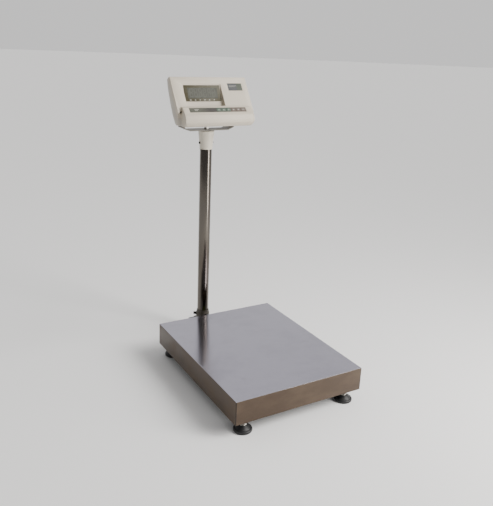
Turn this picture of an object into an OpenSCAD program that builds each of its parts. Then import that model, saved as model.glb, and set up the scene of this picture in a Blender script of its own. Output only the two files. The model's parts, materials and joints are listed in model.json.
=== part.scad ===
// Bench scale: a stainless tray on a load cell and a levelled base frame,
// with a rear column that carries a swivelling, tilting indicator head.
// Millimetres. +Z up, the operator stands at -Y, origin on the floor at the
// centre of the whole object's plan.

/* [Weighing tray] */
// Width of the tray
tray_w = 400; // [320:1:520]
// Length of the tray, front to rear
tray_l = 500; // [400:1:640]
// Thickness of the tray's sheet
tray_t = 1.2; // [0.8:0.1:2]
// Height of the tray's skirt
skirt_h = 67; // [54:1:70]
// Height of the doubled hem at the skirt's lower edge
hem_h = 8; // [4:1:14]
// Height of the rubber buffers under the tray
buffer_h = 5.8; // [4:0.1:10]
// Diameter of the rubber buffers
buffer_d = 24; // [16:1:25]

/* [Base frame] */
// Side of the square base tube
rail = 30; // [26:1:40]
// Wall of the base and upper tubes
rail_t = 2.5; // [1.5:0.1:3]
// Height of the base frame's underside above the floor
frame_z = 38; // [36:1:60]
// Distance from the tray's side to a foot's centre
foot_inset_x = 36.6; // [30:0.1:60]
// Distance from the tray's end to a foot's centre
foot_inset_y = 24.9; // [22:0.1:60]
// Distance between the rear rail and the cross rail that holds the bracket
cross_gap = 75; // [50:1:110]
// Thickness of both load cell plates
cell_plate_t = 5; // [4:0.5:10]

/* [Upper frame] */
// Width of the upper tube
upper_w = 25; // [20:1:30]
// Height of the upper tube
upper_h = 20; // [15:1:30]
// Distance from the tray's side to the centre of an upper side rail
upper_inset_x = 50; // [46:1:60]
// Distance from the tray's end to the end of an upper side rail
upper_inset_y = 40; // [36:1:60]
// Gap of the overload stops under the upper frame
stop_gap = 0.9; // [0.7:0.1:2]

/* [Load cell] */
// Length of the load cell
cell_l = 150; // [130:1:200]
// Width of the load cell
cell_w = 40; // [30:1:60]
// Height of the load cell
cell_h = 28; // [24:1:40]
// Height of the pads that lift the cell's ends off its plates
cell_pad_h = 3; // [2:0.5:6]
// Length of a pad
cell_pad_l = 40; // [36:1:50]
// Diameter of the load cell's bolts
cell_bolt_d = 6; // [5:0.5:8]

/* [Feet] */
// Diameter of a foot's rubber pad
pad_d = 50; // [40:1:60]
// Height of a foot's rubber pad
pad_h = 18; // [16:1:20]
// Diameter of a foot's threaded stud
stud_d = 12; // [10:1:14]
// Length of a stud above its pad's socket
stud_l = 64; // [60:1:68]

/* [Column] */
// Distance from the tray's rear edge to the column's axis
column_back = 98; // [90:1:160]
// Diameter of the column tube
tube_d = 38; // [32:1:45]
// Wall of the column tube
tube_t = 1.5; // [1.2:0.1:3]
// Length of the column tube
tube_len = 632; // [500:1:900]
// Width of the bracket's edge outside the circle of the flange's bolts
flange_edge = 7; // [6.5:0.5:12]
// Thickness of the rear bracket's sheet
bracket_t = 4; // [3:0.5:6]
// Thickness of the column's flange
flange_t = 5; // [4:0.5:10]
// Height of the flared socket above the flange
flare_h = 37; // [34:1:60]
// Wall of the socket at its foot
socket_wall = 3.4; // [3:0.1:8]

/* [Neck] */
// Height of the neck that shows above the tube's cover edge
neck_h = 58; // [50:1:80]
// Depth of the tube inside the neck
neck_sleeve = 38; // [30:1:42]
// Wall of the neck at its foot
neck_wall = 1; // [0.8:0.1:3]
// How far the neck spreads from its foot to its top, on each side
neck_spread = 5.5; // [4:0.5:9]
// Diameter of the swivel bolt
swivel_d = 8; // [6:1:10]

/* [Head bracket] */
// Half width of the bracket's base
saddle_half = 66; // [60:1:70]
// Half width between the outsides of the bracket's ears
ear_half = 87; // [80:1:88]
// Thickness of the bracket's sheet
ear_t = 3; // [2:0.5:4]
// Height of the tilt axis above the neck
tilt_rise = 48; // [44:1:60]
// Diameter of the tilt bolts
tilt_d = 6; // [5:0.5:8]

/* [Indicator] */
// Width of the indicator's case
case_w = 256; // [250:1:300]
// Lean of the face back from upright, in degrees
lean = 33.5; // [30:0.5:36]
// Wall of the case
wall = 2.5; // [2:0.1:3]
// Depth of the front case behind the face
front_depth = 16; // [15:0.5:18]
// Width of the bullnose that carries the keys
bull_w = 231; // [228:1:236]
// Number of keys
key_count = 6; // [6]
// Distance between two keys
key_pitch = 16.7; // [16:0.1:17]
// Width of a key
key_w = 13; // [11:0.5:13.5]
// Height of a key
key_h = 9; // [7:0.5:10]
// Travel of a key
key_travel = 0.5; // [0.2:0.1:0.5]

/* [Hidden] */
$fn = 48;

// Shared fits
joint_gap = 0.3;      // between pieces on different bodies
running = 0.05;       // radial clearance of a shaft that turns in its bore
slip = 0.1;           // radial clearance of the tube in its flange and neck
cut = 1;              // how far a cutting shape runs past a face

// Heights of the weighing stack, from the floor up
stop_room = 9;        // room for the overload stops between the two frames
cell_z = frame_z + cell_plate_t + cell_pad_h;
upper_z = max(cell_z + cell_h + cell_pad_h, frame_z + rail + stop_room);
upper_pad_h = upper_z - cell_z - cell_h;
upper_top = upper_z + upper_h;
tray_top = upper_top + buffer_h + tray_t;
skirt_z = tray_top - skirt_h;

// Plan places
foot_x = tray_w / 2 - foot_inset_x;
foot_y = tray_l / 2 - foot_inset_y;
cross_y = foot_y - cross_gap;
rail_in_x = foot_x - rail / 2;
upper_x = tray_w / 2 - upper_inset_x;
upper_y = tray_l / 2 - upper_inset_y;
upper_in_x = upper_x - upper_w / 2;
column_y = tray_l / 2 + column_back;
socket_d = tube_d + 2 * (slip + socket_wall);
flange_bolt_d = 6;
flange_bolt_af = 10;
flange_bolt_h = 4.2;
flange_pcd = socket_d + flange_bolt_af + 3;
bracket_w = flange_pcd + 2 * flange_edge;
neck_foot_d = tube_d + 2 * neck_wall;
neck_top_d = neck_foot_d + 2 * neck_spread;
mid_y = (column_y + bracket_w / 2 - tray_l / 2) / 2;
corners = [[-1, -1], [1, -1], [-1, 1], [1, 1]];

// Cell bolts stand in pairs over each pad
cell_bolt_x = cell_w / 4;
cell_pad_y = (cell_l - cell_pad_l) / 2;
cell_bolt_dy = cell_pad_l / 2 - 7.5;
cell_bolt_in = 16;
cell_head_h = cell_bolt_d;
cell_relief_d = cell_h - 10;
cell_relief_y = 15;

// Fasteners
stop_y = tray_l / 2 - 90;
stop_x = (rail_in_x + upper_x + upper_w / 2) / 2;
stop_d = 6;
stop_head = 10;
stop_head_h = 4;
stop_nut_h = 3.2;
jam_h = 6;
jam_af = 19;
weld_nut_h = 10;
stud_hex_h = 6;
stud_socket = 14;
bolt_d = 8;
bolt_af = 13;
bolt_head_h = 5.5;
bracket_bolt_x = 24;

// Column stack
flange_z = frame_z + flange_t;
socket_screw_z = flange_z + 20;
tube_z = frame_z;
tube_top = tube_z + tube_len;
neck_z = tube_top - neck_sleeve;
neck_top = neck_z + neck_h;
neck_cap_t = 6;
neck_screw_z = neck_z + 20;
neck_screw_d = 4;
swivel_washer_h = 1.8;
swivel_washer_d = 30;
saddle_z = neck_top + swivel_washer_h + joint_gap;
saddle_y = 46;
saddle_rise = 9;
pivot_y = column_y - 3;
pivot_z = neck_top + tilt_rise;
ear_r = 13;
lug_t = 7.7;

// The indicator's face frame: X across, Y up the slope, Z out of the face,
// with its origin on the face's top edge
face_y = pivot_y - 2.5;
face_z = pivot_z + 115.3;
face_len = 100.3;     // length of the flat face, down to the bullnose
case_r = 6;
bull_r = 12;
panel_at = [-107, 10.5];  // upper edge of the key panel, on top of the bullnose's shoulder
panel_pitch = 12.4;   // angle between the key panel and the face
floor_pitch = 10.7;   // angle between the display recess's floor and the face
half_w = case_w / 2;
bull_half = bull_w / 2;

// Side outlines of the case in the face frame: [up the slope, out of the face]
back_outline = [[0, 0], [6.6, -14.2], [3, -21.4], [-22.5, -29.9], [-63.6, -36.7],
    [-106.2, -40.3], [-136.9, -37.2], [-146, -30]];
cheek_outline = concat(back_outline, [[-141.8, -27.2], [-118, -7], [-122, 0]]);
bull_outline = concat(back_outline, [[-160.5, -12], [-163.5, -3], [-158.5, 9], [-150, 15.6],
    [-137.5, 17.2], panel_at, [-face_len, 0]]);
case_low = -170;
case_high = 10;
case_back = -45;

// Display recess in the face frame
recess_x = [-94, 35];
recess_w = [-98, -23];
floor_w = -24;
floor_n = -1.5;
recess_deep = 22;
window_x = [-90, 31];
window_w = [-53, -3];
window_t = 1.8;
lcd_x = [-85, 26];
lcd_w = [-50, -6];
lcd_t = 6;
lcd_view = 5;
board_n = -13;
board_t = 1.6;
board_x = [-90, 30];
board_w = [-65, -2];

// Keys in the panel frame
key_w0 = -11;
key_x0 = 0.2;
overlay_x = [-97, 94.5];
overlay_w = [-19.4, -2.5];
overlay_in = 0.8;
overlay_t = 1;
key_gap = 0.4;
key_proud = 0.7;
key_flange = 1.2;
key_flange_t = 1.2;
key_stem_end = -6.25;
switch_gap = key_travel + 0.05;
switch_side = 6;
switch_h = 3.5;
switch_top = key_stem_end - switch_gap;
key_board_x = [-13, 101];
key_board_w = [-20.5, -1.5];

// Screw bosses of the case: [x, up the slope]
boss_places = [[-118, -14], [118, -14], [-100, -138], [100, -138]];
boss_r = 4.5;
case_screw_d = 3.5;
case_screw_head = 7;
case_head_n = -20;
case_head_t = 2.5;
case_screw_in = 10;

// Rear connector panel in the face frame
panel_half = 66;
panel_w = [-134, -108];
panel_n = -35.5;
panel_t = 1.5;
panel_mid = (panel_w[0] + panel_w[1]) / 2;
inlet_x = -44;
fuse_x = -15;
connector_x = 12;
switch_x = 46;
rocker_tilt = 8;
rocker_size = [16.2, 8.4, 5];
switch_frame = [22, 15, 2];
switch_body = [19, 13];
rocker_n = panel_n - panel_t - 1.2;

// Inner pieces in the face frame: low corner and high corner
battery_box = [[58, -98, -28], [108, -28, -6]];
transformer_box = [[-92, -132, -33], [-62, -108, -9]];
label_box = [[59, -46, -0.3], [109, -21, 0.4]];

// Outline moved in by d, for points that run clockwise
function unit(v) = v / norm(v);
function right_of(v) = [v[1], -v[0]];
function inset(p, d) = [for (i = [0:len(p) - 1])
    let (a = p[(i + len(p) - 1) % len(p)], b = p[i], c = p[(i + 1) % len(p)],
         u = right_of(unit(b - a)), v = right_of(unit(c - b)))
    b + d * (u + v) / (1 + u * v)];

module in_frame() { translate([0, -mid_y, 0]) children(); }
module on_face() { in_frame() translate([0, face_y, face_z]) rotate([90 - lean, 0, 0]) children(); }
module on_floor() { translate([0, floor_w, floor_n]) rotate([floor_pitch, 0, 0]) children(); }
module on_panel() { translate([0, panel_at[0], panel_at[1]]) rotate([-panel_pitch, 0, 0]) children(); }
module block(low, high) { translate(low) cube(high - low); }
module at_corners(x, y) { for (c = corners) translate([c[0] * x, c[1] * y, 0]) children(); }
module rod(r, z0, z1) { translate([0, 0, z0]) cylinder(r = r, h = z1 - z0); }
module hex(af, z0, z1) { translate([0, 0, z0]) cylinder(d = af / cos(30), h = z1 - z0, $fn = 6); }
module ring(r1, r2, z0, z1) { difference() { rod(r2, z0, z1); rod(r1, z0 - cut, z1 + cut); } }
module across(outline, half) { rotate([90, 0, 90]) linear_extrude(2 * half, center = true) polygon(outline); }

// Square tube along Y, and along X, on z0
module tube_y(w, h, length, z0) {
    difference() {
        translate([-w / 2, -length / 2, z0]) cube([w, length, h]);
        translate([-w / 2 + rail_t, -length / 2 - cut, z0 + rail_t])
            cube([w - 2 * rail_t, length + 2 * cut, h - 2 * rail_t]);
    }
}
module tube_x(w, h, length, z0) { rotate([0, 0, 90]) tube_y(w, h, length, z0); }

// ---------- Weighing tray and upper frame ----------
module tray() {
    hem = 2 * tray_t;
    // The rear skirt is cut away over the column's bracket
    notch_x = bracket_w / 2 + 3;
    notch_z = frame_z + 3;
    color("silver") in_frame() difference() {
        block([-tray_w / 2, -tray_l / 2, skirt_z], [tray_w / 2, tray_l / 2, tray_top]);
        block([-notch_x, tray_l / 2 - hem - cut, min(skirt_z, frame_z) - 2 * cut],
            [notch_x, tray_l / 2 + cut, notch_z]);
        block([tray_t - tray_w / 2, tray_t - tray_l / 2, skirt_z + hem_h],
            [tray_w / 2 - tray_t, tray_l / 2 - tray_t, tray_top - tray_t]);
        block([hem - tray_w / 2, hem - tray_l / 2, skirt_z - cut],
            [tray_w / 2 - hem, tray_l / 2 - hem, skirt_z + hem_h + cut]);
    }
}
module upper_side_rails() {
    color("slategray") in_frame() for (s = [-1, 1]) translate([s * upper_x, 0, 0])
        tube_y(upper_w, upper_h, 2 * upper_y, upper_z);
}
module upper_end_rails() {
    color("slategray") in_frame() for (s = [-1, 1])
        translate([0, s * (upper_y - upper_w / 2), 0]) tube_x(upper_w, upper_h, 2 * upper_in_x, upper_z);
}
module cell_bolt_places(y) {
    for (sx = [-1, 1], sy = [-1, 1]) translate([sx * cell_bolt_x, y + sy * cell_bolt_dy, 0]) children();
}
module upper_cell_plate() {
    color("slategray") in_frame() difference() {
        union() {
            block([-upper_in_x, -cell_pad_y - cell_pad_l / 2 - 10, upper_z],
                [upper_in_x, -cell_pad_y + cell_pad_l / 2 + 10, upper_z + cell_plate_t]);
            block([-cell_w / 2, -cell_pad_y - cell_pad_l / 2, upper_z - upper_pad_h],
                [cell_w / 2, -cell_pad_y + cell_pad_l / 2, upper_z + cut]);
        }
        cell_bolt_places(-cell_pad_y) rod(cell_bolt_d / 2, upper_z - upper_pad_h - cut, upper_top);
    }
}
module tray_buffers() {
    color("dimgray") in_frame() for (y = [-1, 0, 1], s = [-1, 1])
        translate([s * upper_x, y * (upper_y - upper_w), 0]) rod(buffer_d / 2, upper_top, upper_top + buffer_h);
}
module cell_live_bolts() {
    top = upper_z + cell_plate_t;
    color("silver") in_frame() cell_bolt_places(-cell_pad_y) {
        rod(cell_bolt_d / 2, cell_z + cell_h - cell_bolt_in, top + cell_head_h / 2);
        rod(cell_bolt_d * 0.8, top, top + cell_head_h);
    }
}

// ---------- Load cell ----------
module load_cell() {
    mid_z = cell_z + cell_h / 2;
    color("lightgray") in_frame() difference() {
        union() {
            block([-cell_w / 2, -cell_l / 2, cell_z], [cell_w / 2, cell_l / 2, cell_z + cell_h]);
            translate([0, cell_l / 2, mid_z]) rotate([-90, 0, 0]) rod(5, -cut, 8);
        }
        for (s = [-1, 1]) translate([-cell_w / 2 - cut, s * cell_relief_y, mid_z])
            rotate([0, 90, 0]) cylinder(d = cell_relief_d, h = cell_w + 2 * cut);
        block([-cell_w / 2 - cut, -cell_relief_y, mid_z - 3], [cell_w / 2 + cut, cell_relief_y, mid_z + 3]);
        cell_bolt_places(-cell_pad_y) rod(cell_bolt_d / 2, cell_z + cell_h - cell_bolt_in, cell_z + cell_h + cut);
        cell_bolt_places(cell_pad_y) rod(cell_bolt_d / 2, cell_z - cut, cell_z + cell_bolt_in);
    }
}
module cell_fixed_bolts() {
    color("silver") in_frame() cell_bolt_places(cell_pad_y) {
        rod(cell_bolt_d / 2, frame_z - cell_head_h / 2, cell_z + cell_bolt_in);
        rod(cell_bolt_d * 0.8, frame_z - cell_head_h, frame_z);
    }
}

// ---------- Base frame ----------
module base_side_rails() {
    length = 2 * foot_y + rail;
    color("slategray") in_frame() difference() {
        for (s = [-1, 1]) translate([s * foot_x, 0, 0]) tube_y(rail, rail, length, frame_z);
        at_corners(foot_x, foot_y) rod(stud_d / 2 + cut, frame_z - cut, frame_z + rail + cut);
        at_corners(stop_x, stop_y) rod(stop_d / 2, frame_z + rail / 2, frame_z + rail + cut);
    }
}
module base_cross_rails() {
    color("slategray") in_frame() difference() {
        for (y = [-foot_y, cross_y, foot_y]) translate([0, y, 0]) tube_x(rail, rail, 2 * rail_in_x, frame_z);
        bracket_bolt_places() rod(bolt_d / 2, frame_z - cut, frame_z + rail / 2);
    }
}
module base_cell_plate() {
    color("slategray") in_frame() difference() {
        union() {
            block([-rail_in_x, cell_pad_y - cell_pad_l / 2 - 10, frame_z],
                [rail_in_x, cell_pad_y + cell_pad_l / 2 + 10, frame_z + cell_plate_t]);
            block([-cell_w / 2, cell_pad_y - cell_pad_l / 2, frame_z + cell_plate_t - cut],
                [cell_w / 2, cell_pad_y + cell_pad_l / 2, cell_z]);
        }
        cell_bolt_places(cell_pad_y) rod(cell_bolt_d / 2, frame_z - cut, cell_z + cut);
    }
}
module rail_end_caps() {
    bore = rail - 2 * rail_t;
    end = foot_y + rail / 2;
    color("black") in_frame() for (c = corners) translate([c[0] * foot_x, 0, frame_z + rail / 2])
        scale([1, c[1], 1]) {
            block([-rail / 2, end, -rail / 2], [rail / 2, end + 2.5, rail / 2]);
            block([-bore / 2, end - 2.5, -bore / 2], [bore / 2, end + cut, bore / 2]);
        }
}
module overload_stops() {
    top = upper_z - stop_gap;
    color("silver") in_frame() at_corners(stop_x, stop_y) {
        rod(stop_d / 2, frame_z + rail - 14, top - 1);
        hex(stop_head, top - stop_head_h, top);
        hex(stop_head, frame_z + rail, frame_z + rail + stop_nut_h);
    }
}

// ---------- Levelling feet ----------
stud_z = pad_h - stud_socket;
module foot_weld_nuts() {
    z0 = frame_z + rail_t;
    color("silver") in_frame() at_corners(foot_x, foot_y) rotate([0, 0, 30]) difference() {
        hex(jam_af, z0, z0 + weld_nut_h);
        rod(stud_d / 2 + running, z0 - cut, z0 + weld_nut_h + cut);
    }
}
module foot_jam_nuts() {
    color("silver") in_frame() at_corners(foot_x, foot_y) rotate([0, 0, 10]) difference() {
        hex(jam_af, frame_z - jam_h, frame_z);
        rod(stud_d / 2 + running, frame_z - jam_h - cut, frame_z + cut);
    }
}
module foot_stud(sx, sy) {
    color("silver") in_frame() translate([sx * foot_x, sy * foot_y, 0]) {
        rod(stud_d / 2, stud_z, stud_z + stud_l);
        rotate([0, 0, 20]) hex(jam_af - 2, pad_h, pad_h + stud_hex_h);
    }
}
module foot_pad(sx, sy) {
    r = pad_d / 2;
    top_r = 11.5;
    color([0.1, 0.1, 0.11]) in_frame() translate([sx * foot_x, sy * foot_y, 0]) rotate_extrude()
        polygon([[0, 0], [r - 2, 0], [r, 2], [r, pad_h * 0.42], [r - 2, pad_h * 0.52],
            [top_r + 2, pad_h * 0.84], [top_r, pad_h], [stud_d / 2, pad_h], [stud_d / 2, stud_z], [0, stud_z]]);
}

// ---------- Column bracket and column ----------
module bracket_bolt_places() {
    for (y = [cross_y, foot_y], s = [-1, 1]) translate([s * bracket_bolt_x, y, 0]) children();
}
module flange_bolt_places() {
    translate([0, column_y, 0]) for (a = [0:90:270]) rotate([0, 0, a]) translate([flange_pcd / 2, 0, 0]) children();
}
module column_bracket() {
    half = bracket_w / 2;
    front = cross_y - rail / 2;
    rear = column_y + half;
    web_z = frame_z - bracket_t;
    color("dimgray") in_frame() difference() {
        union() {
            block([-half, front, web_z], [half, rear, frame_z]);
            for (s = [-1, 1]) translate([s * (half - bracket_t / 2), 0, 0])
                block([-bracket_t / 2, tray_l / 2, web_z - 14], [bracket_t / 2, rear, frame_z]);
        }
        translate([0, column_y, 0]) rod(12, web_z - cut, frame_z + cut);
        flange_bolt_places() rod(flange_bolt_d / 2, web_z - cut, frame_z + cut);
        bracket_bolt_places() rod(bolt_d / 2, web_z - cut, frame_z + cut);
    }
}
module bracket_bolts() {
    web_z = frame_z - bracket_t;
    color("silver") in_frame() bracket_bolt_places() {
        rod(bolt_d / 2, web_z - cut, frame_z + rail_t + 8);
        hex(bolt_af, web_z - bolt_head_h, web_z);
    }
}
module bubble_level() {
    y = (tray_l / 2 + column_y - bracket_w / 2) / 2;
    color("gold") in_frame() translate([0, y, 0]) {
        rod(12, frame_z, frame_z + 3);
        rod(9.5, frame_z + 2, frame_z + 10);
    }
}
module socket_screw_places() {
    translate([0, column_y, socket_screw_z]) for (a = [30, 150, 270]) rotate([0, 0, a]) rotate([0, 90, 0]) children();
}
module column_flange() {
    r = bracket_w / 2;
    bore = tube_d / 2 + slip;
    foot = socket_d / 2;
    lip = bore + 0.9;
    straight = flare_h * 0.7;
    bend = [for (t = [0:0.2:1]) [lip + (foot - lip) * pow(1 - t, 2), flange_z + straight + t * (flare_h - straight)]];
    color([0.25, 0.24, 0.22]) in_frame() difference() {
        translate([0, column_y, 0]) rotate_extrude()
            polygon(concat([[bore, frame_z], [r, frame_z], [r, flange_z - 1.5], [r - 1.5, flange_z], [foot, flange_z]],
                bend, [[bore, flange_z + flare_h]]));
        flange_bolt_places() rod(flange_bolt_d / 2 + 0.25, frame_z - cut, flange_z + cut);
        socket_screw_places() rod(flange_bolt_d / 2, bore - cut, foot + cut);
    }
}
module flange_bolts() {
    color("black") in_frame() flange_bolt_places() {
        rod(flange_bolt_d / 2, frame_z - bracket_t - 4, flange_z + cut);
        rotate([0, 0, 30]) hex(flange_bolt_af, flange_z, flange_z + flange_bolt_h);
    }
}
module socket_screws() {
    foot = socket_d / 2;
    color("black") in_frame() socket_screw_places() {
        rod(flange_bolt_d / 2, tube_d / 2 + slip, foot + 5);
        hex(flange_bolt_af, foot, foot + 3);
        hex(flange_bolt_af, foot + 4.4, foot + 9);
    }
}
module column_tube() {
    r = tube_d / 2;
    color([0.35, 0.33, 0.3]) in_frame() translate([0, column_y, 0]) difference() {
        ring(r - tube_t, r, tube_z, tube_top);
        translate([0, 0, neck_screw_z]) rotate([0, 90, 0]) rod(neck_screw_d / 2, -r - cut, r + cut);
    }
}

// ---------- Neck and swivel ----------
module neck() {
    foot = neck_foot_d / 2;
    top = neck_top_d / 2;
    bore = tube_d / 2 + slip;
    hollow = tube_d / 2 - tube_t;
    cap_z = neck_top - neck_cap_t;
    color([0.86, 0.84, 0.79]) in_frame() translate([0, column_y, 0]) difference() {
        rotate_extrude() polygon([[bore, neck_z], [foot + 0.6, neck_z], [foot + 0.6, neck_z + 2], [foot, neck_z + 3],
            [top - 0.4, neck_top - 3], [top, neck_top - 2], [top, neck_top - 1], [top - 1, neck_top],
            [swivel_d / 2, neck_top], [swivel_d / 2, cap_z], [hollow, cap_z], [hollow, tube_top], [bore, tube_top]]);
        translate([0, 0, neck_screw_z]) rotate([0, 90, 0]) rod(neck_screw_d / 2, -top - cut, top + cut);
        translate([0, 0, tube_top + 7]) rotate([-90, 0, 0]) rod(4.5, 0, top + cut);
    }
}
module neck_screws() {
    seat = neck_foot_d / 2 + (neck_top_d - neck_foot_d) / 2 * 20 / neck_h;
    color("black") in_frame() translate([0, column_y, neck_screw_z]) for (s = [-1, 1])
        rotate([0, s * 90, 0]) {
            rod(neck_screw_d / 2, tube_d / 2 - tube_t - 2, seat + 0.5);
            rod(3.6, seat + 0.45, seat + 2.6);
        }
}
module swivel_washer() {
    color("black") in_frame() translate([0, column_y, 0])
        ring(swivel_d / 2, swivel_washer_d / 2, neck_top, neck_top + swivel_washer_h);
}
module swivel_bolt() {
    seat = saddle_z + ear_t + joint_gap;
    color("silver") in_frame() translate([0, column_y, 0]) {
        rod(swivel_d / 2, neck_top - neck_cap_t - 6, seat + cut);
        hex(swivel_d * 1.625, seat, seat + swivel_d * 0.66);
    }
}

// ---------- Head bracket ----------
module head_bracket() {
    z0 = saddle_z;
    z1 = saddle_z + saddle_rise;
    in_half = ear_half - ear_t;
    color([0.75, 0.73, 0.68]) in_frame() difference() {
        union() {
            translate([0, column_y + saddle_y / 2, 0]) rotate([90, 0, 0]) linear_extrude(saddle_y)
                polygon([[-saddle_half, z0], [saddle_half, z0], [ear_half, z1], [ear_half, z1 + 4], [in_half, z1 + 4],
                    [in_half, z1 + 1.4], [saddle_half - 1, z0 + ear_t], [1 - saddle_half, z0 + ear_t],
                    [-in_half, z1 + 1.4], [-in_half, z1 + 4], [-ear_half, z1 + 4], [-ear_half, z1]]);
            for (s = [-1, 1]) scale([s, 1, 1]) {
                block([in_half, pivot_y - ear_r, z1 + 2], [ear_half, pivot_y + ear_r, pivot_z]);
                translate([0, pivot_y, pivot_z]) rotate([0, 90, 0]) rod(ear_r, in_half, ear_half);
            }
        }
        translate([0, column_y, 0]) rod(swivel_d / 2 + running, z0 - cut, z0 + ear_t + cut);
        translate([0, pivot_y, pivot_z]) rotate([0, 90, 0]) rod(tilt_d / 2, -ear_half - cut, ear_half + cut);
    }
}
lug_out = ear_half - ear_t - joint_gap;
lug_in = lug_out - lug_t;
module tilt_bolts() {
    color("silver") in_frame() for (s = [-1, 1]) translate([0, pivot_y, pivot_z]) rotate([0, s * 90, 0]) {
        rod(tilt_d / 2, lug_in - 8, ear_half + cut);
        hex(tilt_d * 1.667, ear_half, ear_half + 4);
    }
}
module tilt_nuts() {
    color("silver") in_frame() for (s = [-1, 1]) translate([0, pivot_y, pivot_z]) rotate([0, s * 90, 0])
        difference() {
            hex(tilt_d * 1.667, lug_in - joint_gap - 6, lug_in - joint_gap);
            rod(tilt_d / 2, lug_in - joint_gap - 7, lug_in);
        }
}

// ---------- Indicator case ----------
// A flat shape seen from the front with rounded corners, cut through the case
module front_view(half, low, high, r) {
    block([r - half, low, case_back], [half - r, high, -case_back]);
    block([-half, low + r, case_back], [half, high - r, -case_back]);
    for (x = [r - half, half - r], w = [low + r, high - r]) translate([x, w, 0]) rod(r, case_back, -case_back);
}
// The case's outside with d = 0, and its hollow with d = wall
module case_form(d) {
    difference() {
        intersection() {
            across(inset(cheek_outline, d), half_w - d);
            front_view(half_w - d, case_low, back_outline[1][0] - d, case_r - d / 2);
        }
        for (s = [-1, 1]) scale([s, 1, 1]) translate([0, 0, -8]) linear_extrude(9)
            polygon([[half_w + cut, -122], [half_w, -122 + d], [bull_half - 7.5, -103 + d], [bull_half - 7.5, -132],
                [half_w + cut, -132]]);
    }
    intersection() {
        across(inset(bull_outline, d), bull_half - d);
        front_view(bull_half - d, bull_outline[9][0] + d, 0, bull_r - d / 2);
        block([-half_w, case_low, case_back], [half_w, -face_len + wall, 20]);
    }
}
module case_half(front) {
    low = front ? -front_depth : case_back;
    high = front ? 20 : -front_depth;
    intersection() {
        block([-half_w - cut, case_low - cut, low], [half_w + cut, case_high, high]);
        children();
    }
}
module recess_form(d) {
    intersection() {
        on_floor() block([recess_x[0] - d, -90, -d], [recess_x[1] + d, 20, recess_deep]);
        block([recess_x[0] - d, recess_w[0] - d, -recess_deep], [recess_x[1] + d, recess_w[1] + d, d > 0 ? 0 : cut]);
    }
}
function key_x(i) = key_x0 + (i - 1) * key_pitch;
module key_places() { on_panel() for (i = [1:key_count]) translate([key_x(i), key_w0, 0]) children(); }
module slab(w, h, n0, n1) { translate([-w / 2, -h / 2, n0]) cube([w, h, n1 - n0]); }

module front_case() {
    color([0.8, 0.77, 0.71]) on_face() difference() {
        union() {
            case_half(true) difference() {
                case_form(0);
                case_form(wall);
            }
            case_half(true) recess_form(wall);
            case_half(true) intersection() {
                case_form(0);
                for (p = boss_places) translate([p[0], p[1], 0]) rod(boss_r, -front_depth, 20);
            }
        }
        recess_form(0);
        on_floor() block([lcd_x[0] + lcd_view, lcd_w[0] + lcd_view, -wall - cut],
            [lcd_x[1] - lcd_view, lcd_w[1] - lcd_view, cut]);
        on_panel() block([overlay_x[0], overlay_w[0], -overlay_in], [overlay_x[1], overlay_w[1], 2]);
        key_places() slab(key_w + 2 * key_gap, key_h + 2 * key_gap, -wall - cut, cut);
        block([label_box[0][0], label_box[0][1], label_box[0][2]], [label_box[1][0], label_box[1][1], cut]);
        for (p = boss_places) translate([p[0], p[1], 0])
            rod(case_screw_d / 2, -front_depth - cut, case_head_n + case_screw_in + 2);
    }
}
module rear_case() {
    pivot_w = -94.8;
    pivot_n = -65.7;
    color([0.78, 0.75, 0.69]) on_face() difference() {
        union() {
            case_half(false) difference() {
                case_form(0);
                case_form(wall);
            }
            case_half(false) intersection() {
                case_form(0);
                for (p = boss_places) translate([p[0], p[1], 0]) rod(boss_r + 1, case_back, -front_depth);
            }
            intersection() {
                case_form(0);
                block([-panel_half - 6, panel_w[0] - 5, case_back], [panel_half + 6, panel_w[1] + 5, panel_n + 2.5]);
            }
            for (s = [-1, 1]) translate([s * (lug_in + lug_t / 2), 0, 0]) {
                across([[pivot_w - 18, -37.5], [pivot_w - 11.6, pivot_n - 3], [pivot_w + 11.9, pivot_n + 1.6],
                    [pivot_w + 20, -35]], lug_t / 2);
                translate([-lug_t / 2, pivot_w, pivot_n]) rotate([0, 90, 0]) rod(12, 0, lug_t);
            }
        }
        for (p = boss_places) translate([p[0], p[1], 0]) {
            rod(case_screw_head / 2 + 0.5, case_back - cut, case_head_n);
            rod(case_screw_d / 2, case_head_n - cut, -front_depth + cut);
        }
        translate([0, pivot_w, pivot_n]) rotate([0, 90, 0])
            rod(tilt_d / 2 + running, -ear_half, ear_half);
        block([-panel_half, panel_w[0], case_back - cut], [panel_half, panel_w[1], panel_n]);
        block([-panel_half + 4, panel_w[0] + 3, panel_n - cut], [panel_half - 4, panel_w[1] - 3, panel_n + 4]);
    }
}
module case_screws() {
    color("silver") on_face() for (p = boss_places) translate([p[0], p[1], 0]) {
        rod(case_screw_d / 2, case_head_n - cut, case_head_n + case_screw_in);
        rod(case_screw_head / 2, case_head_n - case_head_t, case_head_n);
    }
}

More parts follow.
